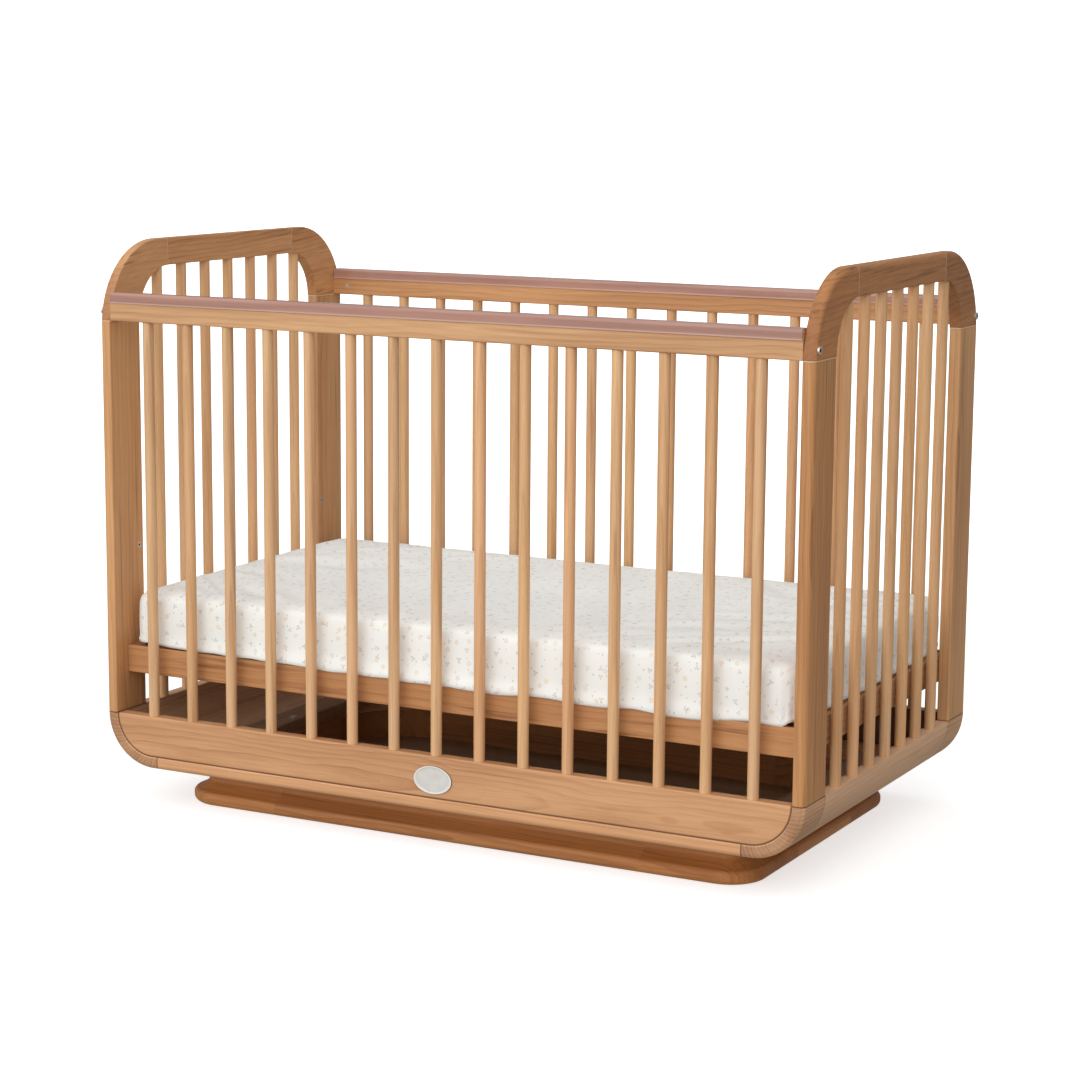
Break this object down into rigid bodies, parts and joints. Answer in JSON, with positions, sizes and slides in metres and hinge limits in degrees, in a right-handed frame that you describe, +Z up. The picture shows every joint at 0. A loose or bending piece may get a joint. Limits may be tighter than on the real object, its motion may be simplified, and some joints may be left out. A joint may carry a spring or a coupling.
{
  "type": "baby crib",
  "caption": "Wooden baby crib with arched ends, round spindles, teething guards, a rounded trough on a recessed plinth, a height-adjustable base and a mattress.",
  "frame": {"origin": "on the floor, under the middle of the crib's plinth", "axes": "+X along the length of the crib, -Y towards the front side with the badge, +Z up"},
  "size_m": [1.38, 0.7768, 1.026],
  "materials": {
    "frame_wood": "satin",
    "panel_wood": "satin",
    "spindle_wood": "satin",
    "plinth_wood": "satin",
    "base_wood": "satin",
    "guard_plastic": "gloss",
    "mattress_cover": "matte",
    "sheet_cotton": "matte",
    "badge_plastic": "satin",
    "zinc_steel": "satin"
  },
  "bodies": {
    "frame": {"front_panel": "panel_wood", "rear_panel": "panel_wood", "front_bottom_rail": "panel_wood", "rear_bottom_rail": "panel_wood", "left_end_board": "panel_wood", "right_end_board": "panel_wood", "left_floor_board": "panel_wood", "right_floor_board": "panel_wood", "bottom_corner_front_left": "panel_wood", "bottom_corner_front_right": "panel_wood", "bottom_corner_rear_left": "panel_wood", "bottom_corner_rear_right": "panel_wood", "plinth_front": "plinth_wood", "plinth_rear": "plinth_wood", "plinth_left": "plinth_wood", "plinth_right": "plinth_wood", "plinth_corner_front_left": "plinth_wood", "plinth_corner_front_right": "plinth_wood", "plinth_corner_rear_left": "plinth_wood", "plinth_corner_rear_right": "plinth_wood", "plinth_floor": "plinth_wood", "post_front_left": "frame_wood", "post_front_right": "frame_wood", "post_rear_left": "frame_wood", "post_rear_right": "frame_wood", "top_arc_front_left": "frame_wood", "top_arc_front_right": "frame_wood", "top_arc_rear_left": "frame_wood", "top_arc_rear_right": "frame_wood", "left_top_rail": "frame_wood", "right_top_rail": "frame_wood", "front_top_rail": "frame_wood", "rear_top_rail": "frame_wood", "front_teething_guard": "guard_plastic", "rear_teething_guard": "guard_plastic", "front_spindles": "spindle_wood", "rear_spindles": "spindle_wood", "left_spindles": "spindle_wood", "right_spindles": "spindle_wood", "oval_badge": "badge_plastic", "rail_bolts": "zinc_steel", "rail_barrel_nuts": "zinc_steel", "floor_bolts": "zinc_steel", "post_inserts": "zinc_steel"},
    "mattress_base": {"base_front_rail": "base_wood", "base_rear_rail": "base_wood", "base_left_rail": "base_wood", "base_right_rail": "base_wood", "base_slats": "base_wood", "base_bolts": "zinc_steel"},
    "mattress": {"mattress_core": "mattress_cover", "fitted_sheet": "sheet_cotton"}
  },
  "joints": [
    {"name": "base_height", "type": "slide", "parent": "frame", "child": "mattress_base", "axis": [0, 0, 1], "range_m": [0, 0.205]},
    {"name": "mattress_lift", "type": "slide", "parent": "mattress_base", "child": "mattress", "axis": [0, 0, 1], "range_m": [0, 0.65]}
  ]
}
